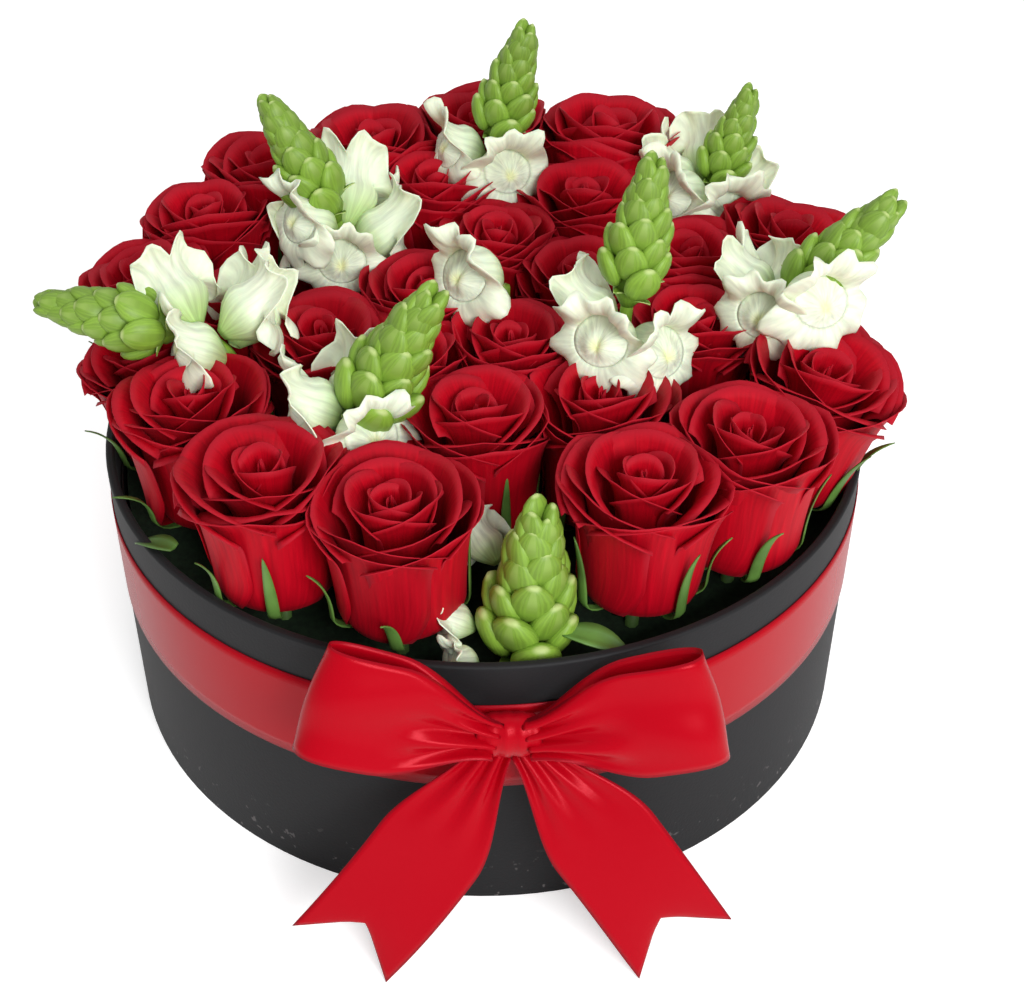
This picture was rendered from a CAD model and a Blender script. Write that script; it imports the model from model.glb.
"""Looks of a round flower box: charcoal paper, a satin bow, red roses and white snapdragons.

The script is laid out as an add-on. Lengths inside the shape functions are millimetres, +Z up,
with the bow on -Y, and they become metres when a piece is made.
"""

import bpy
import math
import numpy as np
from mathutils import Matrix, Vector


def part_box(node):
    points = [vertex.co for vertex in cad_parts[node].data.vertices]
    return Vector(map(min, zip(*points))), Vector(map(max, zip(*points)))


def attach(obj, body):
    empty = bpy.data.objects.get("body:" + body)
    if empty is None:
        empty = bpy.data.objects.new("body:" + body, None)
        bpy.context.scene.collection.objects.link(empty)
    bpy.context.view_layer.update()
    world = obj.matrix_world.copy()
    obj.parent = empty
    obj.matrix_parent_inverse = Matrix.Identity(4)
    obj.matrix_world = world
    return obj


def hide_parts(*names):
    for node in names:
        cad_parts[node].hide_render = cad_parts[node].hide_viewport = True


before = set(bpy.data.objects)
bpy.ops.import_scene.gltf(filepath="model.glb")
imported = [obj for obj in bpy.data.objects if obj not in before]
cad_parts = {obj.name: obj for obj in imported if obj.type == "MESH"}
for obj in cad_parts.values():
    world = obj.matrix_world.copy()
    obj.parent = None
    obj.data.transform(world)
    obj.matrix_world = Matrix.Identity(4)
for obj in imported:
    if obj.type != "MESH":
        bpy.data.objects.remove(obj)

bl_info = {
    "name": "Flower box",
    "version": (1, 0, 0),
    "blender": (4, 5, 0),
    "location": "View3D > Sidebar > Flower box",
    "description": "Builds the looks of a flower box round its packed parts",
    "category": "Object",
}

MM = 0.001
WELD_DISTANCE = 1e-6
GOLDEN_ANGLE = math.radians(137.5)
FULL_TURN = 2 * math.pi
WHITE = (1.0, 1.0, 1.0, 1.0)
RED_SHEEN = (1.0, 0.1, 0.15, 1.0)

# Box and bow
BOX_RADIUS = 150.0
WALL_INSIDE = 145.0
BAND_RADIUS = 150.35
BAND_MIDDLE = 81.0
BOW_X = 8.0
KNOT_Y = -157.2
KNOT_Z = 95.0
KNOT_HALF_WIDTH = 10.2
KNOT_DEPTH = 6.6
KNOT_HEIGHT = 8.3
KNOT_FOLDED = 0.55
LOOP_PLANE = 160.5
LOOP_NECK = 5.0
LOOP_BULGE_FRONT = 10.5
LOOP_BULGE_BACK = 6.0
LOOP_PLEAT = 3.0
LOOP_TILT = -20.0
LOOP_SWING = 5.0
LOOP_RISE_LEFT = 17.0
LOOP_RISE_RIGHT = 12.0
TAIL_START = (5.0, -153.5, 84.6)
TAIL_PLEAT = 2.2
TAIL_SLANT = 35.5
TAIL_TILT = -22.0

# Rose heads: their size in the part, then how far the looks rise, swell and sink
ROSE_COUNT = 28
LEAN_AT_RIM = 16.0
HEAD_RADIUS = 24.0
HEAD_HEIGHT = 58.0
HEAD_LIFT = 0.26
HEAD_SWELL = 1.05
HEAD_SINK = 16.0
FOAM_SINK = 11.0
FOOT_LEAN = 0.25
FRONT_ROW = (20.0, 100.0)
FRONT_RISE = 8.0
BACK_ROW = (30.0, 100.0)
BACK_RISE = 5.0
BACK_SWELL = 0.09
OUTER_RING = 75.0
CUP_SHARE = 0.15
SEPAL_COUNT = 5

# How far petals spread before a neighbour stops them
NEIGHBOUR_REACH = 75.0
SPIKE_REACH = 45.0
WIDEST_SPREAD = 1.32
LEAST_SPREAD = 0.75
LEAST_FACING = 0.35

# Stems, buds and open flowers
STEM_END = 60.0
STEM_SIDES = 8
STEM_SIDEWAYS = (0.31, 0.95, 0.05)
ROSE_STEM = 2.6
HIP_DEPTH = 8.0
HIP_OUTLINE = ((1.5, -9.5), (3.0, -9.0), (5.6, -6.0), (6.9, -2.5), (7.0, 0.0))
SPIKE_STEM = 2.4
SPIKE_SIDEWAYS = (0.2, -1, 0.1)
SPIKE_LENGTH = 52.0
BEND_RADIUS = 22.0
NECK_LENGTH = 7.0
BUD_COUNT = 34
BUD_SIZE = (7.4, 13.2, 17.0)
BUD_SEAM = 0.2
BUD_OUTLINE = ((0.10, 0.0), (0.34, 0.12), (0.47, 0.30), (0.50, 0.52), (0.43, 0.74), (0.28, 0.90),
               (0.08, 1.0))
CORE_OUTLINE = ((2.4, -6.0), (6.4, 0.0), (6.6, 10.0), (5.2, 24.0), (3.6, 36.0), (1.8, 46.0))
BRACT_COUNT = 9
FLOWER_RISE = math.radians(33)
FLOWER_STALK = 4.0
TUBE_LENGTH = 15.0
TUBE_OUTLINE = ((0, 1.8), (0.15, 3.6), (0.35, 6.2), (0.55, 8.2), (0.75, 9.2), (0.9, 8.8), (1, 7.8))

# Stage in metres, with the camera's pitch, yaw and roll in degrees
FLOOR_SIZE = 12.0
KEY_PLACE, KEY_SIZE = (0.5, -1.2, 0.85), 0.6
TOP_PLACE, TOP_SIZE = (-0.2, 0.3, 1.5), 1.2
LAMP_AIM = (0.0, 0.0, 0.12)
CAMERA_PLACE = (0.0, -0.551, 0.5089)
CAMERA_ANGLES = (38.387, 1.144, 0.1616)
SENSOR_WIDTH = 36.0

# Loose leaves: length, bearing and foot
LOOSE_LEAVES = ((24, -8, (26, -131, 117)), (20, 150, (-112, -88, 120)), (20, 60, (-62, 20, 160)))

# Open flowers away from the spikes: foot, bearing and scale
LONE_FLOWER = ((8, 12, 168), 220, 1.3)
WILTED_FLOWERS = (((-1, -121, 108), 185, 0.7), ((6, -103, 120), 130, 0.7), ((-1, -130, 102), 215, 0.6))

# Snapdragons: x, y, height of the bend, bearing and angle of the lean, spike scale,
# then the bearing of each open flower and how far along the stem it is
SNAPDRAGONS = (
    (-91, -28, 151, 174, 80, 0.98, ((60, 164), (200, 160), (130, 176), (20, 172))),
    (-56, 44, 168, 168, 26, 1.0, ((150, 156), (270, 160), (20, 160), (85, 172), (215, 174))),
    (4, 94, 179, 0, 14, 0.98, ((290, 172), (200, 178))),
    (95, 85, 160, 10, 17, 0.85, ((150, 160), (30, 154), (290, 156), (215, 162), (90, 168))),
    (52, -27, 178, 40, 10, 1.0, ((150, 166), (238, 166), (310, 160))),
    (109, -6, 151, 2, 38, 1.08, ((150, 166), (239, 164), (60, 156), (290, 172))),
    (-50, -62, 143, 0, 28, 1.16, ((190, 156), (300, 150), (75, 150))),
    (13, -121, 90, 0, 4, 1.3, ()),
)


class Ring:
    """One whorl of rose petals, in shares of the head's radius and height, angles in degrees."""

    def __init__(self, start, count, inner, outer, height, half_angle, lean, roll, curl):
        self.start = start
        self.count = count
        self.inner = inner
        self.outer = outer
        self.height = height
        self.half_angle = math.radians(half_angle)
        self.lean = math.radians(lean)
        self.roll = math.radians(roll)
        self.curl = curl

    def turn(self, rng, place):
        """Where a petal of the ring stands round its head."""
        return place * FULL_TURN / self.count + self.start + rng.uniform(-0.14, 0.14)


RINGS = (
    Ring(0, 3, 0.06, 0.15, 0.93, 130, -5, 4, 3.0),
    Ring(GOLDEN_ANGLE, 4, 0.20, 0.34, 0.97, 96, -3, 24, 5.0),
    Ring(2 * GOLDEN_ANGLE, 5, 0.40, 0.56, 1.00, 80, 0, 46, 5.0),
    Ring(3 * GOLDEN_ANGLE, 5, 0.62, 0.78, 0.985, 70, 6, 62, 6.0),
    Ring(4 * GOLDEN_ANGLE, 5, 0.85, 0.98, 0.945, 64, 7, 74, 7.5),
)


# Settings


def length(name, description, default):
    """A length property in metres."""
    return bpy.props.FloatProperty(name=name, description=description, default=default, min=0.0,
                                   unit="LENGTH")


def share(name, description, default):
    """A property between nought and one."""
    return bpy.props.FloatProperty(name=name, description=description, default=default, min=0.0, max=1.0,
                                   subtype="FACTOR")


def colour(name, description, default):
    """A colour property."""
    return bpy.props.FloatVectorProperty(name=name, description=description, default=default, size=4,
                                         min=0.0, max=1.0, subtype="COLOR")


def strength(name, description, default):
    """A number from nought up."""
    return bpy.props.FloatProperty(name=name, description=description, default=default, min=0.0)


def chances(default):
    """The start of a run of chances."""
    return bpy.props.IntProperty(name="Seed", description="Start of the run of chances", default=default)


class BoxSettings(bpy.types.PropertyGroup):
    """Paper, liner and foam."""

    paper: colour("Paper", "Colour of the paper on the board", (0.0085, 0.0085, 0.0095, 1))
    scuff: colour("Scuff", "Colour of the worn paper at the foot of the wall", (0.11, 0.10, 0.10, 1))
    paper_roughness: share("Paper roughness", "How matt the paper is", 0.58)
    liner: colour("Liner", "Colour of the waterproof cup", (0.012, 0.012, 0.012, 1))
    foam: colour("Foam", "Colour of the wet foam", (0.010, 0.028, 0.010, 1))


class RibbonSettings(bpy.types.PropertyGroup):
    """Satin ribbon and its bow."""

    satin: colour("Satin", "Colour of the ribbon", (0.39, 0.0009, 0.0075, 1))
    edge: colour("Woven edge", "Colour of the ribbon's woven edges", (0.30, 0.003, 0.01, 1))
    width: length("Width", "Width of the ribbon", 0.040)
    thickness: length("Thickness", "Thickness of the ribbon", 0.00045)
    loop_length: length("Loop length", "Reach of a loop from the middle of the knot", 0.070)
    tail_length: length("Tail length", "Length of a hanging end", 0.0975)
    notch: length("Notch", "Depth of the cut in a hanging end", 0.017)
    roughness: share("Roughness", "Roughness of the satin", 0.27)


class RoseSettings(bpy.types.PropertyGroup):
    """Rose petals."""

    petal: colour("Petal", "Colour of a petal", (0.40, 0.0010, 0.009, 1))
    deep: colour("Petal base", "Colour low down in the head", (0.25, 0.0006, 0.0055, 1))
    rim: colour("Petal rim", "Colour of a petal's turned edge", (0.42, 0.010, 0.022, 1))
    thickness: length("Petal thickness", "Thickness of a petal", 0.0003)
    seed: chances(7)


class GreenSettings(bpy.types.PropertyGroup):
    """Stems, hips, sepals and leaves."""

    leaf: colour("Leaf", "Colour of sepals and leaves", (0.075, 0.16, 0.03, 1))
    stem: colour("Stem", "Colour of stems and hips", (0.10, 0.20, 0.045, 1))
    thickness: length("Leaf thickness", "Thickness of a sepal", 0.0005)
    seed: chances(19)


class SnapdragonSettings(bpy.types.PropertyGroup):
    """Snapdragon buds and open flowers."""

    bud: colour("Bud", "Colour of a closed bud", (0.19, 0.33, 0.035, 1))
    bud_rim: colour("Bud rim", "Colour of a bud's edges", (0.46, 0.58, 0.20, 1))
    flower: colour("Flower", "Colour of an open flower", (0.77, 0.81, 0.63, 1))
    tube: colour("Flower tube", "Colour of an open flower's tube", (0.42, 0.58, 0.20, 1))
    throat: colour("Throat", "Colour in the mouth of a flower", (0.80, 0.80, 0.40, 1))
    thickness: length("Flower thickness", "Thickness of a flower's lip", 0.0004)
    seed: chances(5)


class StageSettings(bpy.types.PropertyGroup):
    """Floor, lights and camera."""

    floor: colour("Floor", "Colour of the floor", (0.93, 0.93, 0.93, 1))
    glow: share("Glow", "How far the floor is lifted towards white where the camera sees it", 0.42)
    sky: strength("Sky", "Strength of the even light", 0.55)
    key: strength("Key", "Power of the main lamp", 17.0)
    top: strength("Top", "Power of the overhead lamp", 4.0)
    focal: strength("Focal length", "Camera lens, millimetres", 58.91)


# Mesh helpers


class Patch:
    """Points in millimetres with their faces, places on a petal, and a shade that materials may read."""

    def __init__(self, points, faces, places, tone=0.5):
        self.points = points
        self.faces = faces
        self.places = places
        self.tone = tone

    def placed(self, turn, place, tone=None):
        """The patch turned by a matrix, then carried to its place."""
        points = self.points @ np.asarray(turn, float).T + np.asarray(place, float)
        return Patch(points, self.faces, self.places, self.tone if tone is None else tone)


def grid_patch(grid, tone=0.5):
    """A patch from a grid of points, which runs along by rows and across by columns."""
    rows, columns = grid.shape[:2]
    index = np.arange(rows * columns).reshape(rows, columns)
    faces = np.stack([index[:-1, :-1], index[:-1, 1:], index[1:, 1:], index[1:, :-1]], -1).reshape(-1, 4)
    across, along = np.meshgrid(np.linspace(0, 1, columns), np.linspace(0, 1, rows))
    return Patch(grid.reshape(-1, 3), faces.tolist(), np.stack([across, along], -1).reshape(-1, 2), tone)


def turned_patch(outline, sides, pinch=0.0):
    """A turned shape drawn up from a disc, station by station, and pinched in along its +X side."""
    bpy.ops.object.select_all(action="DESELECT")
    radius, height = outline[0]
    bpy.ops.mesh.primitive_circle_add(vertices=sides, radius=radius, fill_type="NGON",
                                      location=(0, 0, height))
    obj = bpy.context.object
    bpy.ops.object.transform_apply(location=True, rotation=False, scale=False)
    bpy.ops.object.mode_set(mode="EDIT")
    for wide, high in outline[1:]:
        bpy.ops.mesh.extrude_region_move(TRANSFORM_OT_translate={"value": (0, 0, high - height)})
        grow = wide / radius
        bpy.ops.transform.resize(value=(grow, grow, 1), center_override=(0, 0, high))
        radius, height = wide, high
    bpy.ops.mesh.select_all(action="SELECT")
    bpy.ops.mesh.normals_make_consistent(inside=False)
    bpy.ops.mesh.select_all(action="DESELECT")
    bpy.ops.object.mode_set(mode="OBJECT")
    mesh = obj.data
    for point in mesh.vertices:
        point.select = point.co.x > 0.98 * math.hypot(point.co.x, point.co.y)
    bpy.ops.object.mode_set(mode="EDIT")
    bpy.ops.transform.resize(value=(1 - pinch, 1, 1), center_override=(0, 0, 0))
    bpy.ops.object.mode_set(mode="OBJECT")
    points = np.array([point.co for point in mesh.vertices])
    faces = [list(face.vertices) for face in mesh.polygons]
    away = np.abs(np.arctan2(points[:, 1], points[:, 0])) / FULL_TURN
    bottom, top = points[:, 2].min(), points[:, 2].max()
    bpy.data.meshes.remove(mesh)
    return Patch(points, faces, np.stack([away, (points[:, 2] - bottom) / (top - bottom)], -1))


def grid_of(*axes):
    """Points from three arrays that share one grid, spread to a common shape."""
    return np.stack(np.broadcast_arrays(*axes), axis=-1)


def smooth_step(low, high, value):
    """A smooth rise from nought at low to one at high."""
    x = np.clip((value - low) / (high - low), 0.0, 1.0)
    return x * x * (3 - 2 * x)


def turn_to(axis, towards):
    """A matrix that carries +Z to an axis and +X as near as it can to another direction."""
    z = np.asarray(axis, float) / np.linalg.norm(axis)
    y = np.cross(z, np.asarray(towards, float))
    y = y / np.linalg.norm(y)
    return np.stack([np.cross(y, z), y, z], axis=1)


def turn_about(axis, angle):
    """A matrix that turns by an angle about a named axis."""
    return np.array(Matrix.Rotation(angle, 3, axis))


def activate(obj):
    """Leaves one object selected and active."""
    bpy.ops.object.select_all(action="DESELECT")
    obj.select_set(True)
    bpy.context.view_layer.objects.active = obj


def mesh_piece(name, patches, material, thickness=0.0):
    """One mesh from many patches, welded, with places and shades, given a thickness in metres."""
    faces, first = [], 0
    for patch in patches:
        faces += [[corner + first for corner in face] for face in patch.faces]
        first += len(patch.points)
    points = np.concatenate([patch.points for patch in patches]) * MM
    places = np.concatenate([patch.places for patch in patches])
    tones = np.concatenate([np.full(len(patch.points), patch.tone) for patch in patches])
    mesh = bpy.data.meshes.new(name)
    mesh.from_pydata(points.tolist(), [], faces)
    layer = mesh.uv_layers.new(name="UVMap")
    layer.data.foreach_set("uv", places[[corner for face in faces for corner in face]].ravel())
    shade = mesh.attributes.new("tone", "FLOAT", "POINT")
    shade.data.foreach_set("value", tones)
    mesh.materials.append(material)
    obj = bpy.data.objects.new(name, mesh)
    bpy.context.scene.collection.objects.link(obj)
    activate(obj)
    bpy.ops.object.mode_set(mode="EDIT")
    bpy.ops.mesh.select_all(action="SELECT")
    bpy.ops.mesh.remove_doubles(threshold=WELD_DISTANCE)
    if not thickness:
        bpy.ops.mesh.normals_make_consistent(inside=False)
    bpy.ops.object.mode_set(mode="OBJECT")
    if thickness:
        solid = obj.modifiers.new("Thickness", "SOLIDIFY")
        solid.thickness = thickness
        solid.offset = 0.0
        bpy.ops.object.modifier_apply(modifier=solid.name)
    bpy.ops.object.shade_smooth()
    return obj


def joined(name, objects):
    """Several pieces as one."""
    activate(objects[0])
    for obj in objects[1:]:
        obj.select_set(True)
    bpy.ops.object.join()
    objects[0].name = name
    return objects[0]


def stand_for(obj, body, slot, *nodes):
    """Makes a piece move with a body, take a slot's finish and stand for its nodes."""
    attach(obj, body)
    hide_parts(*nodes)


def tube(path, radius):
    """A closed tube along a run of points."""
    path = np.asarray(path, float)
    angle = np.linspace(0, FULL_TURN, STEM_SIDES + 1)
    circle = np.stack([radius * np.cos(angle), radius * np.sin(angle), np.zeros_like(angle)], -1)
    circle[-1] = circle[0]
    rows = [np.repeat(path[:1], STEM_SIDES + 1, axis=0)]
    for point, axis in zip(path, np.gradient(path, axis=0)):
        rows.append(circle @ turn_to(axis, STEM_SIDEWAYS).T + point)
    rows.append(np.repeat(path[-1:], STEM_SIDES + 1, axis=0))
    return grid_patch(np.stack(rows))


# Material helpers


def node(tree, kind, inputs=None, **settings):
    """A shader node with its settings made, and its inputs linked or set."""
    made = tree.nodes.new(kind)
    for key, value in settings.items():
        setattr(made, key, value)
    for key, value in (inputs or {}).items():
        if isinstance(value, bpy.types.NodeSocket):
            tree.links.new(value, made.inputs[key])
        else:
            made.inputs[key].default_value = value
    return made


def maths(tree, operation, first, second=0.0, third=0.0):
    """The result of one sum."""
    return node(tree, "ShaderNodeMath", {0: first, 1: second, 2: third}, operation=operation).outputs[0]


def ramped(tree, value, low, high):
    """A smooth rise from nought to one between two values."""
    return node(tree, "ShaderNodeMapRange", {"Value": value, "From Min": low, "From Max": high},
                interpolation_type="SMOOTHSTEP").outputs["Result"]


def mixed(tree, factor, first, second, blend="MIX"):
    """Two colours mixed."""
    return node(tree, "ShaderNodeMix", {0: factor, 6: first, 7: second}, data_type="RGBA",
                blend_type=blend).outputs[2]


def noise(tree, place, scale, detail):
    """A noise value at each place."""
    inputs = {"Vector": place, "Scale": scale, "Detail": detail}
    return node(tree, "ShaderNodeTexNoise", inputs).outputs["Fac"]


def new_group(name, inputs, outputs):
    """An empty node group with its sockets, its input node and its output node."""
    group = bpy.data.node_groups.new(name, "ShaderNodeTree")
    for label, kind in inputs:
        group.interface.new_socket(label, in_out="INPUT", socket_type=kind)
    for label, kind in outputs:
        group.interface.new_socket(label, in_out="OUTPUT", socket_type=kind)
    return group, group.nodes.new("NodeGroupInput"), group.nodes.new("NodeGroupOutput")


def petal_coordinates(tree):
    """Where a point is across its petal and along it from the foot, and how near it is to a side."""
    split = node(tree, "ShaderNodeSeparateXYZ", {0: node(tree, "ShaderNodeUVMap").outputs[0]})
    side = maths(tree, "ABSOLUTE", maths(tree, "MULTIPLY_ADD", split.outputs[0], 2.0, -1.0))
    return split.outputs[0], split.outputs[1], side


def petal_group():
    """A petal's colour from foot to rim, with fine veins along it."""
    sockets = [("Foot", "NodeSocketColor"), ("Blade", "NodeSocketColor"), ("Rim", "NodeSocketColor"),
               ("Foot Height", "NodeSocketFloat")]
    results = [("Color", "NodeSocketColor"), ("Veins", "NodeSocketFloat")]
    group, given, result = new_group("Petal", sockets, results)
    across, along, side = petal_coordinates(group)
    tone = node(group, "ShaderNodeAttribute", attribute_name="tone").outputs["Fac"]
    stretched = node(group, "ShaderNodeCombineXYZ", {0: maths(group, "MULTIPLY", across, 42.0),
                                                     1: maths(group, "MULTIPLY", along, 2.2), 2: tone})
    veins = noise(group, stretched.outputs[0], 1.0, 3.0)
    rise = ramped(group, along, 0.0, given.outputs["Foot Height"])
    body = mixed(group, rise, given.outputs["Foot"], given.outputs["Blade"])
    streak = maths(group, "MULTIPLY_ADD", veins, 0.9, 0.55)
    level = maths(group, "MULTIPLY_ADD", tone, 0.45, 0.78)
    shade = maths(group, "MULTIPLY", streak, level)
    grey = node(group, "ShaderNodeCombineColor", {0: shade, 1: shade, 2: shade})
    body = mixed(group, 1.0, body, grey.outputs[0], "MULTIPLY")
    edge = maths(group, "MAXIMUM", ramped(group, along, 0.93, 1.0), ramped(group, side, 0.9, 1.0))
    edge = maths(group, "MULTIPLY", edge, ramped(group, along, 0.45, 0.8))
    group.links.new(mixed(group, edge, body, given.outputs["Rim"]), result.inputs["Color"])
    group.links.new(veins, result.inputs["Veins"])
    return group


def mottle_group():
    """A soft change of shade over a surface."""
    sockets = [("Color", "NodeSocketColor"), ("Other", "NodeSocketColor"), ("Scale", "NodeSocketFloat")]
    results = [("Color", "NodeSocketColor"), ("Grain", "NodeSocketFloat")]
    group, given, result = new_group("Mottle", sockets, results)
    place = node(group, "ShaderNodeTexCoord").outputs["Object"]
    grain = noise(group, place, given.outputs["Scale"], 5.0)
    spread = ramped(group, grain, 0.35, 0.65)
    shade = mixed(group, spread, given.outputs["Color"], given.outputs["Other"])
    group.links.new(shade, result.inputs["Color"])
    group.links.new(grain, result.inputs["Grain"])
    return group


def new_material(name):
    """An empty material, its node tree, and its shader linked to the output."""
    material = bpy.data.materials.new(name)
    material.use_nodes = True
    tree = material.node_tree
    tree.nodes.clear()
    shader = tree.nodes.new("ShaderNodeBsdfPrincipled")
    output = tree.nodes.new("ShaderNodeOutputMaterial")
    tree.links.new(shader.outputs[0], output.inputs["Surface"])
    return material, tree, shader


def bump(tree, shader, height, strength, distance):
    """Raises a surface by a height texture."""
    made = node(tree, "ShaderNodeBump", {"Height": height, "Strength": strength, "Distance": distance})
    tree.links.new(made.outputs[0], shader.inputs["Normal"])


def set_values(shader, **values):
    """Sets plain values on a shader's sockets, with spaces for underscores in their names."""
    for key, value in values.items():
        shader.inputs[key.replace("_", " ")].default_value = value


def shared_group(name):
    """A node group that several materials use, made when it is first wanted."""
    makers = {"Petal": petal_group, "Mottle": mottle_group}
    return bpy.data.node_groups.get(name) or makers[name]()


def use_group(tree, name, inputs):
    """A shared group in a material."""
    made = tree.nodes.new("ShaderNodeGroup")
    made.node_tree = shared_group(name)
    for key, value in inputs.items():
        made.inputs[key].default_value = value
    return made


def petal_material(name, foot, blade, rim, foot_height, vein_depth):
    """A petal: velvety, veined, paler at the rim."""
    material, tree, shader = new_material(name)
    group = use_group(tree, "Petal", {"Foot": foot, "Blade": blade, "Rim": rim, "Foot Height": foot_height})
    tree.links.new(group.outputs["Color"], shader.inputs["Base Color"])
    bump(tree, shader, group.outputs["Veins"], 0.4, vein_depth)
    return material, shader


def mottled_material(name, first, second, scale, grain):
    """A surface whose shade shifts softly, with a fine grain."""
    material, tree, shader = new_material(name)
    group = use_group(tree, "Mottle", {"Color": first, "Other": second, "Scale": scale})
    tree.links.new(group.outputs["Color"], shader.inputs["Base Color"])
    bump(tree, shader, group.outputs["Grain"], 0.3, grain)
    return material, shader


def toned(value, factor):
    """A colour made darker or lighter."""
    return (value[0] * factor, value[1] * factor, value[2] * factor, 1.0)


def paper_material(settings):
    """Charcoal paper with a fine tooth, scuffed in specks low on the wall."""
    material, tree, shader = new_material("Charcoal paper")
    place = node(tree, "ShaderNodeTexCoord").outputs["Object"]
    height = node(tree, "ShaderNodeSeparateXYZ", {0: place}).outputs[2]
    low = maths(tree, "SUBTRACT", 1.0, ramped(tree, height, 0.004, 0.03))
    specks = ramped(tree, noise(tree, place, 260.0, 2.0), 0.64, 0.72)
    worn = maths(tree, "MULTIPLY", low, specks)
    cloud = ramped(tree, noise(tree, place, 9.0, 3.0), 0.3, 0.7)
    base = mixed(tree, cloud, settings.paper, toned(settings.paper, 1.35))
    tree.links.new(mixed(tree, worn, base, settings.scuff), shader.inputs["Base Color"])
    bump(tree, shader, noise(tree, place, 900.0, 4.0), 0.35, 0.00025)
    set_values(shader, Roughness=settings.paper_roughness, Specular_IOR_Level=0.22, Sheen_Weight=0.03)
    return material


def satin_material(settings):
    """Satin ribbon: a fine weave across it, and woven edges."""
    material, tree, shader = new_material("Satin")
    across, along, side = petal_coordinates(tree)
    selvedge = ramped(tree, side, 0.95, 0.965)
    tree.links.new(mixed(tree, selvedge, settings.satin, settings.edge), shader.inputs["Base Color"])
    lines = node(tree, "ShaderNodeCombineXYZ", {0: maths(tree, "MULTIPLY", across, 3.0),
                                                1: maths(tree, "MULTIPLY", along, 260.0)})
    bump(tree, shader, noise(tree, lines.outputs[0], 1.0, 2.0), 0.2, 0.0002)
    set_values(shader, Roughness=settings.roughness, Specular_IOR_Level=0.34, Sheen_Weight=0.02,
               Sheen_Roughness=0.4, Sheen_Tint=RED_SHEEN, Specular_Tint=(1.0, 0.16, 0.2, 1.0))
    return material


# Ribbon shapes


def rotated(points, axis, degrees):
    """Points turned about an axis through the origin."""
    return points @ turn_about(axis, math.radians(degrees)).T


def band_grid(width):
    """The ribbon laid round the wall, very slightly uneven as hand-laid ribbon is."""
    angle = np.linspace(0, FULL_TURN, 181)[:, None]
    across = np.linspace(-1, 1, 9)[None, :]
    radius = BAND_RADIUS + 0.06 * np.sin(5 * angle) + 0 * across
    sway = 0.5 * np.sin(angle + 0.6) - 0.5 * math.sin(0.6 - math.pi / 2)
    height = BAND_MIDDLE + across * width / 2 + sway
    return grid_of(radius * np.sin(angle), -radius * np.cos(angle), height)


def loop_grid(side, rise, width, reach, phase):
    """A loop: out along the front, round the end and back, pleated where the knot gathers it."""
    t = np.linspace(0, 1, 65)[:, None]
    w = np.linspace(-1, 1, 17)[None, :]
    swell = np.sin(math.pi * t) ** 2
    out = LOOP_NECK + (reach - LOOP_NECK) * np.sin(math.pi * t) ** 1.3
    full = smooth_step(0.08, 0.62, out / reach)
    bulge = np.where(t < 0.5, LOOP_BULGE_FRONT, LOOP_BULGE_BACK)
    front = bulge * np.sin(FULL_TURN * t) * (0.35 + 0.65 * swell)
    depth = -1.6 - 4.0 * swell - front
    half = width / 2 * (0.34 + 0.66 * full)
    pleat = LOOP_PLEAT * (1 - full) * np.cos(3.2 * math.pi * w + phase)
    fold = 1.5 * full * (1 - full) * 4 * np.sin(2.1 * math.pi * w + phase)
    ripple = 0.9 * full * np.sin(math.pi * (1.4 * w + 2.3 * t + phase))
    x = out - 0.8 * w * full * swell + 0.8 * np.sin(5 * t * math.pi + 3 * w) * full
    points = grid_of(x, depth + pleat + fold + ripple, half * w)
    points = rotated(points, "X", LOOP_TILT)
    points = rotated(points, "Y", -rise)
    points = rotated(points, "Z", LOOP_SWING)
    points[..., 0] *= side
    return points + np.array([BOW_X, -LOOP_PLANE, KNOT_Z])


def tail_grid(side, width, run, notch, phase):
    """A hanging end: gathered at the knot, widening, with a soft wave and a swallow tail."""
    s = np.linspace(0, 1, 45)[:, None]
    w = np.linspace(-1, 1, 17)[None, :]
    full = smooth_step(-0.05, 0.46, s)
    half = width / 2 * (0.28 + 0.72 * full)
    depth = -4.0 * (1 - (2 * s - 1) ** 2) + TAIL_PLEAT * (1 - full) * np.cos(3 * math.pi * w + phase)
    depth = depth - 1.6 * np.sin(math.pi * (2.2 * s + 0.35 * w + phase)) * s * (1.2 - s)
    drop = -run * s + notch * (1 - np.abs(w)) * s ** 8
    points = grid_of(half * w + 2.0 * np.sin(math.pi * s), depth, drop)
    points = rotated(points, "Y", -side * TAIL_SLANT)
    points = rotated(points, "X", TAIL_TILT)
    x, y, z = TAIL_START
    return points + np.array([BOW_X + side * x, y, z])


def knot_grid():
    """The cross piece wrapped round the middle of the bow, with upright folds."""
    angle = np.linspace(0, FULL_TURN, 41)[:, None]
    w = np.linspace(-1, 1, 15)[None, :]
    folds = 0.5 * np.cos(4.3 * math.pi * w + 0.9) * (0.4 + 0.6 * np.cos(angle / 2 - math.pi / 2) ** 2)
    crown = 1.0 - 0.18 * np.abs(w) ** 3
    front = (KNOT_DEPTH + folds) * crown
    tall = (KNOT_HEIGHT + 0.6 * folds) * crown
    x = BOW_X + KNOT_HALF_WIDTH * w * (1 - 0.10 * np.cos(angle)) - 1.0
    y = KNOT_Y + front * np.cos(angle)
    z = KNOT_Z + tall * np.sin(angle)
    return grid_of(x, y, z)


# Flower shapes


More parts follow.
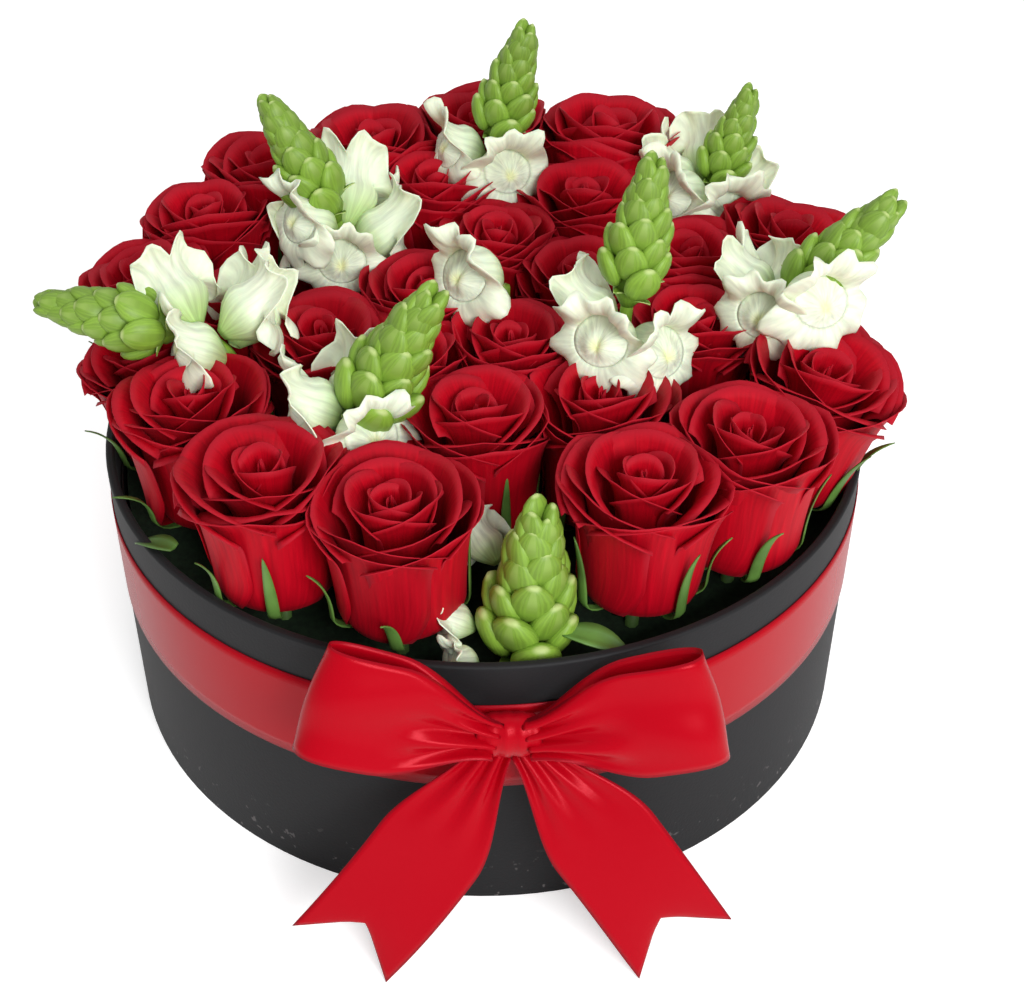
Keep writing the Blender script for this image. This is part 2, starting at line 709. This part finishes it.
def rose_petal(rng, ring, place, head, openness, limit):
    """One petal: a cup that rises to a lip, where it rolls out; its sides roll further than its middle."""
    columns = np.linspace(-1, 1, 15)[None, :]
    spread = np.abs(columns)
    radius, height = head.radius, head.height
    base = CUP_SHARE * height
    belly = radius * (ring.inner + (ring.outer - ring.inner) * place / max(ring.count - 1, 1))
    tall = height * ring.height * rng.uniform(0.975, 1.02)
    low = np.linspace(0, math.pi / 2, 5)[:, None]
    cup_r = belly * (0.2 + 0.8 * np.sin(low) ** 0.8) + 0 * columns
    cup_z = base * (1 - np.cos(low)) + 0 * columns
    steps = 12
    v = np.linspace(0, 1, steps + 1)[1:, None]
    reach = (tall - base) * (1 - rng.uniform(0.10, 0.16) * spread ** 2.6)
    roll = ring.roll * openness * rng.uniform(0.75, 1.25) * (0.7 + 0.5 * spread ** 1.5)
    tilt = (ring.lean + math.radians(rng.uniform(-2, 2))) * v ** 0.5 + roll * v ** ring.curl
    top_r = belly + np.cumsum(np.sin(tilt) * reach / steps, axis=0)
    top_z = base + np.cumsum(np.cos(tilt) * reach / steps, axis=0)
    wave = rng.uniform(0.012, 0.03) * radius * ring.outer
    top_r = top_r + wave * np.sin(FULL_TURN * (0.8 * columns + rng.uniform())) * v ** 2
    top_r = top_r + 0.035 * radius * ring.outer * spread ** 3 * v
    top_z = top_z + 0.02 * height * np.exp(-(columns / 0.2) ** 2) * v ** 6 * ring.outer
    r = np.concatenate([cup_r, top_r]) + 0.045 * radius * columns * (0.3 + ring.outer)
    z = np.concatenate([cup_z, top_z])
    rows = np.concatenate([low / math.pi * 0.6, 0.3 + 0.7 * v])
    narrow = 0.55 + 0.45 * smooth_step(0.0, 0.5, rows)
    angle = ring.turn(rng, place) + columns * ring.half_angle * narrow
    bound = limit(angle)
    r = np.maximum(r, 0.02 * radius)
    r = np.where(r > 0.8 * bound, bound * (0.8 + 0.2 * np.tanh((r / bound - 0.8) / 0.2)), r)
    return grid_patch(grid_of(r * np.cos(angle), r * np.sin(angle), z), rng.uniform(0.25, 0.75))


class RoseHead:
    """Where a rose head stands, measured from its node."""

    def __init__(self, number):
        self.node = "rose_%02d" % number
        low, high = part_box(self.node)
        low, high = np.array(low) / MM, np.array(high) / MM
        middle = (low + high) / 2
        out = math.hypot(middle[0], middle[1])
        lean = math.radians(LEAN_AT_RIM) * (out / BOX_RADIUS) ** 2
        flat = middle[:2] / max(out, 1e-6)
        size = (high[2] - low[2]) / (HEAD_HEIGHT * math.cos(lean) + HEAD_RADIUS * math.sin(lean))
        lift = HEAD_LIFT * HEAD_HEIGHT * size * math.sin(lean)
        back = float(smooth_step(*BACK_ROW, middle[1]))
        front = float(smooth_step(*FRONT_ROW, -middle[1]))
        rise = FRONT_RISE * front + BACK_RISE * back
        self.radius = HEAD_RADIUS * size * (HEAD_SWELL + BACK_SWELL * back)
        self.top = np.append(middle[:2] + flat * lift, high[2] - lift + rise)
        foam_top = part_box("foam")[1][2] / MM
        drop = min(HEAD_HEIGHT * size + HEAD_SINK + rise, self.top[2] - foam_top + FOAM_SINK)
        foot_out = math.hypot(*self.top[:2]) - FOOT_LEAN * math.sin(lean) * drop
        foot_out = min(foot_out, WALL_INSIDE - self.radius)
        self.foot = np.append(flat * foot_out, self.top[2] - drop)
        self.height = float(np.linalg.norm(self.top - self.foot))
        self.axis = (self.top - self.foot) / self.height
        self.outward = math.atan2(flat[1], flat[0])
        self.outer = out > OUTER_RING
        self.turn = turn_to(self.axis, (1, 0, 0))


def cell_limit(head, heads, spikes):
    """How far a head's petals may spread in a direction before they meet a neighbour."""
    bounds = []
    for other in heads:
        gap = other.top[:2] - head.top[:2]
        apart = float(np.hypot(*gap))
        if other is not head and apart < NEIGHBOUR_REACH:
            ours = apart * head.radius / (head.radius + other.radius) + 1.0
            bounds.append((math.atan2(gap[1], gap[0]), ours))
    for spike in spikes:
        gap = np.array(spike) - head.top[:2]
        apart = float(np.hypot(*gap))
        if apart < SPIKE_REACH:
            bounds.append((math.atan2(gap[1], gap[0]), max(apart - 5.0, 0.6 * head.radius)))

    def limit(angle):
        free = np.full(np.shape(angle), WIDEST_SPREAD * head.radius)
        for bearing, apart in bounds:
            facing = np.cos(angle - bearing)
            reach = apart / np.maximum(facing, LEAST_FACING)
            free = np.minimum(free, np.where(facing > LEAST_FACING, reach, np.inf))
        return np.maximum(free, LEAST_SPREAD * head.radius)
    return limit


def rose_patches(rng, head, limit):
    """All the petals of a head, in place."""
    spin = rng.uniform(0, FULL_TURN)
    openness = rng.uniform(0.7, 1.25)
    patches = []
    for ring in RINGS:
        for place in range(ring.count):
            patches.append(rose_petal(rng, ring, place, head, openness, lambda a: limit(a + spin)))
    turn = head.turn @ turn_about("Z", spin)
    return [patch.placed(turn, head.foot) for patch in patches]


def leaf_patch(run, half_width, droop, twist, tone=0.5):
    """A pointed leaf along +X that bends down by an angle over its length, folded a little on its midrib."""
    s = np.linspace(0, 1, 11)[:, None]
    w = np.linspace(-1, 1, 5)[None, :]
    angle = droop * s
    x = np.cumsum(np.cos(angle) * run / 10, axis=0) - run / 10
    z = -np.cumsum(np.sin(angle) * run / 10, axis=0)
    half = half_width * np.sin(math.pi * np.clip(0.12 + 0.88 * s, 0, 1)) ** 0.75
    y = w * half * np.cos(twist * s)
    lift = np.abs(w) * half * 0.3 + w * half * np.sin(twist * s)
    return grid_patch(grid_of(x + 0 * w, y, z + lift), tone)


def sepal_patch(rng, head, curl):
    """A sepal that hugs a head from its foot up, then curls away at its tip by a length."""
    s = np.linspace(0, 1, 17)[:, None]
    w = np.linspace(-1, 1, 5)[None, :]
    climb = np.clip(s / 0.4, 0, 1) * math.pi / 2
    free = np.clip((s - 0.4) / 0.6, 0, 1)
    rise = rng.uniform(18.0, 34.0)
    r = head.radius * (0.2 + 0.8 * np.sin(climb) ** 0.8) + 1.4 + curl * free ** 2.4
    z = CUP_SHARE * head.height * (1 - np.cos(climb)) - 0.8 + rise * free * (1 - 0.02 * curl * free)
    half = 2.2 * np.sin(math.pi * (0.15 + 0.85 * s)) ** 0.8
    sway = rng.uniform(-6, 6) * s ** 2
    grid = grid_of(r - 0.25 * half * np.abs(w), w * half + sway, z + 0 * w)
    return grid_patch(grid, rng.uniform(0.3, 0.7))


class Stem:
    """A snapdragon's stem, which rises straight and then bends over."""

    def __init__(self, x, y, bend, bearing, lean):
        self.foot = np.array([x, y, 0.0])
        self.turn = turn_about("Z", math.radians(bearing))
        self.bend = bend
        self.lean = math.radians(lean)
        self.end = bend + BEND_RADIUS * self.lean + NECK_LENGTH
        self.axis = self.turn @ np.array([math.sin(self.lean), 0, math.cos(self.lean)])

    def point(self, along):
        """The point at a length along the stem."""
        over = max(along - self.bend, 0)
        turned = min(over / BEND_RADIUS, self.lean)
        straight = max(over - BEND_RADIUS * self.lean, 0)
        reach = BEND_RADIUS * (1 - math.cos(turned)) + straight * math.sin(self.lean)
        rise = BEND_RADIUS * math.sin(turned) + straight * math.cos(self.lean)
        return self.foot + self.turn @ np.array([reach, 0.0, min(along, self.bend) + rise])


def spike_patches(rng, bud, core, scale):
    """The closed buds of a spike along +Z, pressed to its core in a spiral that shrinks to the tip."""
    patches = [core.placed(np.eye(3) * scale, (0, 0, 0))]
    for number in range(BUD_COUNT):
        near = 1 - number / (BUD_COUNT - 1)
        turn = number * GOLDEN_ANGLE + rng.uniform(-0.1, 0.1)
        tilt = math.radians(3 + 26 * near ** 1.6 + rng.uniform(-4, 4))
        out = np.array([math.cos(turn), math.sin(turn), 0.0])
        axis = out * math.sin(tilt) + np.array([0, 0, math.cos(tilt)])
        size = (0.64 + 0.36 * near ** 0.8) * rng.uniform(0.94, 1.08)
        stretch = np.diag(BUD_SIZE) * size
        base = out * (1.7 + 4.8 * near ** 0.7) + np.array([0, 0, (1 - near) * (SPIKE_LENGTH - 10.0)])
        tone = rng.uniform(0.3, 0.6) + 0.4 * near ** 3
        patches.append(bud.placed(turn_to(axis, out) @ stretch * scale, base * scale, tone))
    return patches


def bract_patches(rng, scale):
    """Small pointed leaves under the lowest buds."""
    bracts = []
    for number in range(BRACT_COUNT):
        leaf = leaf_patch(rng.uniform(9, 14), 2.6, 0.9, rng.uniform(-0.5, 0.5), 0.6)
        leaf = leaf.placed(turn_about("Y", -0.9), (2.0, 0, -5.0 + number * 1.6))
        turn = turn_about("Z", number * GOLDEN_ANGLE + 0.6)
        bracts.append(leaf.placed(turn * scale, (0, 0, 0)))
    return bracts


def lobe(off, middle, half):
    """A rounded lobe of a flower's lip, by its middle and half its width in degrees."""
    return np.cos(np.radians(np.clip((off - middle) * 90 / half, -90, 90))) ** 0.5


def flower_patches(rng, scale):
    """An open flower along +Z, upper lip towards +X: a swollen tube with two lips, and a closed mouth."""
    angle = np.linspace(-math.pi, math.pi, 49)[None, :]
    off = np.degrees(np.abs(angle))
    lower = smooth_step(62, 88, off)
    v = np.linspace(0, 1, 8)[:, None]
    tube_r = np.interp(v, *zip(*TUBE_OUTLINE)) + 0 * angle
    tube_z = TUBE_LENGTH * v + 0 * angle
    steps = 9
    t = np.linspace(0, 1, steps + 1)[1:, None]
    low_lobes = np.maximum(lobe(off, 112, 36), lobe(off, 180, 38))
    reach = (1 - lower) * (4 + 11 * lobe(off, 36, 46)) + lower * (4 + 6.5 * low_lobes)
    reach = reach * rng.uniform(0.9, 1.1)
    bend = np.radians((1 - lower) * (-10 + 84 * t ** 2) + lower * (80 + 80 * t))
    phase = rng.uniform(0, FULL_TURN, 2)
    lip_r = tube_r[-1:] + np.cumsum(np.sin(bend) * reach / steps, axis=0)
    lip_z = tube_z[-1:] + np.cumsum(np.cos(bend) * reach / steps, axis=0)
    lip_r = lip_r + 1.5 * np.sin(9 * angle + phase[0]) * t ** 2
    lip_z = lip_z + 1.8 * np.sin(7 * angle + phase[1]) * t ** 2
    r = np.concatenate([tube_r, lip_r])
    z = np.concatenate([tube_z, lip_z])
    horn = grid_of(r * np.cos(angle), 1.1 * r * np.sin(angle), z)
    tone = rng.uniform(0.4, 0.7)
    out = np.linspace(0, 1, 9)[:, None]
    about = np.linspace(0, FULL_TURN, 25)[None, :]
    y = 8.7 * out * np.sin(about)
    swell = 3.8 * np.cos(out * math.pi / 2) ** 2 - 2.4 * np.exp(-(y / 1.6) ** 2) * (1 - out)
    mouth = grid_of(7.9 * out * np.cos(about) - 2.5 * (1 - out), y, TUBE_LENGTH + swell)
    return grid_patch(horn * scale, tone), grid_patch(mouth * scale, tone)


def flower_place(place, bearing):
    """A matrix that makes a flower face out and up from a stem, and the place of its foot."""
    turn = math.radians(bearing)
    flat = math.cos(FLOWER_RISE)
    axis = np.array([flat * math.cos(turn), flat * math.sin(turn), math.sin(FLOWER_RISE)])
    return turn_to(axis, (0, 0, 1)), np.asarray(place) + axis * FLOWER_STALK


# Operators


class FLOWERBOX_OT_box(bpy.types.Operator):
    """Cover the board with charcoal paper, and finish the liner and the foam"""

    bl_idname = "flower_box.cover_box"
    bl_label = "Cover the box"

    def execute(self, context):
        settings = context.scene.flower_box_box
        paper = paper_material(settings)
        liner, shader = mottled_material("Liner", settings.liner, toned(settings.liner, 1.5), 20.0, 0.0001)
        set_values(shader, Roughness=0.4)
        foam, shader = mottled_material("Foam", settings.foam, toned(settings.foam, 0.55), 420.0, 0.0012)
        set_values(shader, Roughness=0.95)
        for name, material in (("box_wall", paper), ("box_base", paper), ("liner", liner), ("foam", foam)):
            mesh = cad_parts[name].data
            mesh.materials.clear()
            mesh.materials.append(material)
        return {"FINISHED"}


class FLOWERBOX_OT_ribbon(bpy.types.Operator):
    """Lay the ribbon round the wall and tie the bow"""

    bl_idname = "flower_box.tie_ribbon"
    bl_label = "Tie the ribbon"

    def strip(self, settings, name, grid, satin, held, rests_on, flat_width, cut=0.0):
        """One strip of ribbon, declared with the size it is cut to."""
        obj = mesh_piece("satin_" + name, [grid_patch(grid)], satin, settings.thickness)
        stand_for(obj, "box", "ribbon", name)

    def execute(self, context):
        settings = context.scene.flower_box_ribbon
        satin = satin_material(settings)
        wide, cut = settings.width, settings.notch
        width, reach = wide / MM, settings.loop_length / MM
        run, notch = settings.tail_length / MM, cut / MM
        self.strip(settings, "ribbon_band", band_grid(width), satin, "stretched", ["box_wall"], wide)
        left = loop_grid(-1, LOOP_RISE_LEFT, width, reach, 0.4)
        right = loop_grid(1, LOOP_RISE_RIGHT, width, reach, 1.3)
        self.strip(settings, "bow_loop_left", left, satin, "gathered", ["bow_knot"], wide)
        self.strip(settings, "bow_loop_right", right, satin, "gathered", ["bow_knot"], wide)
        left = tail_grid(-1, width, run, notch, 0.2)
        right = tail_grid(1, width, run, notch, 0.7)
        self.strip(settings, "bow_tail_left", left, satin, "hung", ["bow_knot"], wide, cut)
        self.strip(settings, "bow_tail_right", right, satin, "hung", ["bow_knot"], wide, cut)
        folded = wide * KNOT_FOLDED
        self.strip(settings, "bow_knot", knot_grid(), satin, "gathered", ["ribbon_band"], folded)
        return {"FINISHED"}


class FLOWERBOX_OT_roses(bpy.types.Operator):
    """Shape every rose head petal by petal"""

    bl_idname = "flower_box.shape_roses"
    bl_label = "Shape the roses"

    def execute(self, context):
        settings = context.scene.flower_box_rose
        colours = (settings.deep, settings.petal, settings.rim)
        material, shader = petal_material("Rose petal", *colours, 0.5, 0.0003)
        set_values(shader, Roughness=0.58, Specular_IOR_Level=0.25, Sheen_Weight=0.08, Sheen_Roughness=0.45,
                   Sheen_Tint=RED_SHEEN, Specular_Tint=(1.0, 0.3, 0.35, 1.0))
        rng = np.random.default_rng(settings.seed)
        heads = [RoseHead(number) for number in range(1, ROSE_COUNT + 1)]
        spikes = [row[:2] for row in SNAPDRAGONS]
        for head in heads:
            patches = rose_patches(rng, head, cell_limit(head, heads, spikes))
            obj = mesh_piece("petals_" + head.node, patches, material, settings.thickness)
            stand_for(obj, "arrangement", "rose_petal", head.node)
        return {"FINISHED"}


class FLOWERBOX_OT_greens(bpy.types.Operator):
    """Grow the stems, hips, sepals and leaves of the roses"""

    bl_idname = "flower_box.grow_greens"
    bl_label = "Grow the rose greens"

    def execute(self, context):
        settings = context.scene.flower_box_green
        green, shader = mottled_material("Stem", settings.stem, toned(settings.stem, 0.7), 60.0, 0.0002)
        set_values(shader, Roughness=0.5)
        leaf, shader = mottled_material("Leaf", settings.leaf, toned(settings.leaf, 1.7), 45.0, 0.0003)
        set_values(shader, Roughness=0.45)
        rng = np.random.default_rng(settings.seed)
        hip = turned_patch(HIP_OUTLINE, 12)
        stems, sepals = [], []
        for number in range(1, ROSE_COUNT + 1):
            head = RoseHead(number)
            size = head.radius / HEAD_RADIUS
            stems.append(hip.placed(head.turn * size, head.foot))
            top = head.foot - head.axis * HIP_DEPTH * size
            end = top - head.axis * (top[2] - STEM_END) / head.axis[2]
            stems.append(tube([end, (end + top) / 2, top], ROSE_STEM * size))
            for count in range(SEPAL_COUNT):
                bearing = count * FULL_TURN / SEPAL_COUNT + rng.uniform(-0.3, 0.3)
                free = max(math.cos(bearing - head.outward), 0.0) if head.outer else 0.0
                sepal = sepal_patch(rng, head, 0.5 + rng.uniform(2.0, 12.0) * free)
                sepals.append(sepal.placed(head.turn @ turn_about("Z", bearing), head.foot))
        for run, bearing, place in LOOSE_LEAVES:
            turn = turn_about("Z", math.radians(bearing))
            sepals.append(leaf_patch(run, 5.0, 0.5, 0.4).placed(turn, place))
        stems = mesh_piece("stems", stems, green)
        sepals = mesh_piece("sepals", sepals, leaf, settings.thickness)
        stand_for(joined("rose_greens", [stems, sepals]), "arrangement", "stem", "rose_stems")
        return {"FINISHED"}


class FLOWERBOX_OT_snapdragons(bpy.types.Operator):
    """Set the snapdragons: spikes of buds, and open flowers below them"""

    bl_idname = "flower_box.set_snapdragons"
    bl_label = "Set the snapdragons"

    def execute(self, context):
        settings = context.scene.flower_box_snapdragon
        bud, petal, mouth = self.finishes(settings)
        rng = np.random.default_rng(settings.seed)
        forms = (turned_patch(BUD_OUTLINE, 14, BUD_SEAM), turned_patch(CORE_OUTLINE, 12))
        for number, (*layout, scale, flowers) in enumerate(SNAPDRAGONS, start=1):
            stem = Stem(*layout)
            self.spike(number, rng, stem, forms, scale, bud, settings)
            rows = [(stem.point(along), facing, rng.uniform(1.1, 1.28)) for facing, along in flowers]
            if rows:
                name = "flowers_snapdragon_%d" % number
                obj = self.open_flowers(name, rng, rows, petal, mouth, settings)
                stand_for(obj, "arrangement", "floret", "snapdragon_%d_florets" % number)
        flower = self.open_flowers("lone_flower", rng, [LONE_FLOWER], petal, mouth, settings)
        x, y, height = LONE_FLOWER[0]
        path = [(x, y, STEM_END), (x, y, 110), (x, y, height)]
        stem = mesh_piece("lone_stem", [tube(path, SPIKE_STEM)], bud)
        obj = joined("flower_snapdragon_9", [flower, stem])
        stand_for(obj, "arrangement", "floret", "snapdragon_9_floret")
        wilted = self.open_flowers("wilted_flowers", rng, WILTED_FLOWERS, petal, mouth, settings)
        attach(wilted, "arrangement")
        return {"FINISHED"}

    def finishes(self, settings):
        """The materials of the buds, the flowers and their mouths."""
        bud, shader = petal_material("Bud", toned(settings.bud, 0.8), settings.bud, settings.bud_rim,
                                     0.5, 0.0003)
        set_values(shader, Roughness=0.46, Specular_IOR_Level=0.4)
        rim = toned(settings.flower, 1.1)
        petal, lip_shader = petal_material("Snapdragon flower", settings.tube, settings.flower, rim,
                                           0.55, 0.0003)
        mouth, mouth_shader = petal_material("Snapdragon mouth", settings.throat, settings.flower,
                                             settings.flower, 0.45, 0.0002)
        for shader in (lip_shader, mouth_shader):
            set_values(shader, Roughness=0.5, Subsurface_Weight=0.15, Subsurface_Scale=0.003)
        return bud, petal, mouth

    def spike(self, number, rng, stem, forms, scale, bud, settings):
        """One spike of buds, with its stem and bracts."""
        stand = turn_to(stem.axis, SPIKE_SIDEWAYS)
        top = stem.point(stem.end)
        closed = [patch.placed(stand, top) for patch in spike_patches(rng, *forms, scale)]
        path = [stem.point(along) for along in np.linspace(STEM_END, stem.end + 6, 24)]
        closed.append(tube(path, SPIKE_STEM))
        leaves = [patch.placed(stand, top) for patch in bract_patches(rng, scale)]
        buds = mesh_piece("buds", closed, bud)
        leaves = mesh_piece("bracts", leaves, bud, settings.thickness)
        obj = joined("buds_snapdragon_%d" % number, [buds, leaves])
        stand_for(obj, "arrangement", "bud", "snapdragon_%d_spike" % number)

    def open_flowers(self, name, rng, rows, petal, mouth, settings):
        """Open flowers as one piece, each row giving a foot, a bearing and a scale."""
        horns, mouths = [], []
        for foot, facing, scale in rows:
            matrix, place = flower_place(foot, facing)
            horn, closed = flower_patches(rng, scale)
            horns.append(horn.placed(matrix, place))
            mouths.append(closed.placed(matrix, place))
        lips = mesh_piece("lips", horns, petal, settings.thickness)
        return joined(name, [lips, mesh_piece("mouths", mouths, mouth, settings.thickness)])


class FLOWERBOX_OT_stage(bpy.types.Operator):
    """Set the floor, the lights and the camera"""

    bl_idname = "flower_box.set_stage"
    bl_label = "Set the stage"

    def lamp(self, name, place, size, power):
        """A soft lamp that faces the flowers."""
        bpy.ops.object.light_add(type="AREA", location=place)
        lamp = bpy.context.object
        lamp.name = name
        lamp.data.size = size
        lamp.data.energy = power
        aim = Vector(LAMP_AIM) - Vector(place)
        lamp.rotation_euler = aim.to_track_quat("-Z", "Y").to_euler()

    def execute(self, context):
        settings = context.scene.flower_box_stage
        self.floor(context, settings)
        self.sky(context, settings)
        self.lamp("key", KEY_PLACE, KEY_SIZE, settings.key)
        self.lamp("overhead", TOP_PLACE, TOP_SIZE, settings.top)
        self.camera(context, settings)
        context.scene.view_settings.view_transform = "Standard"
        return {"FINISHED"}

    def floor(self, context, settings):
        """A pale floor, lifted towards white where the camera sees it."""
        bpy.ops.object.select_all(action="DESELECT")
        bpy.ops.mesh.primitive_plane_add(size=FLOOR_SIZE)
        floor = context.object
        floor.name = "floor"
        material, tree, shader = new_material("Floor")
        set_values(shader, Base_Color=settings.floor, Roughness=0.9, Specular_IOR_Level=0.1,
                   Emission_Color=WHITE)
        seen = node(tree, "ShaderNodeLightPath").outputs["Is Camera Ray"]
        glow = maths(tree, "MULTIPLY", seen, settings.glow)
        tree.links.new(glow, shader.inputs["Emission Strength"])
        floor.data.materials.append(material)

    def sky(self, context, settings):
        """Even light from all round, seen as white."""
        world = bpy.data.worlds.new("Studio")
        context.scene.world = world
        world.use_nodes = True
        tree = world.node_tree
        back = tree.nodes["Background"]
        rays = node(tree, "ShaderNodeLightPath").outputs["Is Camera Ray"]
        seen = maths(tree, "MULTIPLY_ADD", rays, 1.0 - settings.sky, settings.sky)
        back.inputs["Color"].default_value = WHITE
        tree.links.new(seen, back.inputs["Strength"])

    def camera(self, context, settings):
        """The camera, where the picture was taken from."""
        pitch, yaw, roll = map(math.radians, CAMERA_ANGLES)
        flat = math.cos(pitch)
        ahead = Vector((math.sin(yaw) * flat, math.cos(yaw) * flat, -math.sin(pitch)))
        right = Vector((math.cos(yaw), -math.sin(yaw), 0.0))
        up = right.cross(ahead)
        across = right * math.cos(roll) + up * math.sin(roll)
        upright = up * math.cos(roll) - right * math.sin(roll)
        bpy.ops.object.camera_add()
        camera = context.object
        camera.name = "camera"
        camera.data.lens = settings.focal
        camera.data.sensor_width = SENSOR_WIDTH
        camera.data.sensor_fit = "HORIZONTAL"
        turn = Matrix((across, upright, -ahead)).transposed().to_4x4()
        camera.matrix_world = Matrix.Translation(Vector(CAMERA_PLACE)) @ turn
        context.scene.camera = camera


class FLOWERBOX_PT_panel(bpy.types.Panel):
    """The settings and steps, in order"""

    bl_idname = "FLOWERBOX_PT_panel"
    bl_label = "Flower box"
    bl_space_type = "VIEW_3D"
    bl_region_type = "UI"
    bl_category = "Flower box"

    def draw(self, context):
        for name, group in SETTINGS:
            box = self.layout.box()
            box.label(text=group.__doc__)
            for key in group.__annotations__:
                box.prop(getattr(context.scene, name), key)
        for operator in OPERATORS:
            self.layout.operator(operator.bl_idname)


SETTINGS = (
    ("flower_box_box", BoxSettings),
    ("flower_box_ribbon", RibbonSettings),
    ("flower_box_rose", RoseSettings),
    ("flower_box_green", GreenSettings),
    ("flower_box_snapdragon", SnapdragonSettings),
    ("flower_box_stage", StageSettings),
)
OPERATORS = (FLOWERBOX_OT_box, FLOWERBOX_OT_ribbon, FLOWERBOX_OT_roses, FLOWERBOX_OT_greens,
             FLOWERBOX_OT_snapdragons, FLOWERBOX_OT_stage)


def register():
    """Makes the settings, steps and panel known."""
    for name, group in SETTINGS:
        bpy.utils.register_class(group)
        setattr(bpy.types.Scene, name, bpy.props.PointerProperty(type=group))
    for operator in OPERATORS:
        bpy.utils.register_class(operator)
    bpy.utils.register_class(FLOWERBOX_PT_panel)


def unregister():
    """Takes the settings, steps and panel away again."""
    bpy.utils.unregister_class(FLOWERBOX_PT_panel)
    for operator in reversed(OPERATORS):
        bpy.utils.unregister_class(operator)
    for name, group in reversed(SETTINGS):
        delattr(bpy.types.Scene, name)
        bpy.utils.unregister_class(group)


def main():
    """Builds the looks, and notes the box round the model before and after."""
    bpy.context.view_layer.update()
    register()
    bpy.ops.object.select_all(action="DESELECT")
    bpy.ops.flower_box.cover_box()
    bpy.ops.flower_box.tie_ribbon()
    bpy.ops.flower_box.shape_roses()
    bpy.ops.flower_box.grow_greens()
    bpy.ops.flower_box.set_snapdragons()
    bpy.ops.flower_box.set_stage()


if __name__ == "__main__":
    main()
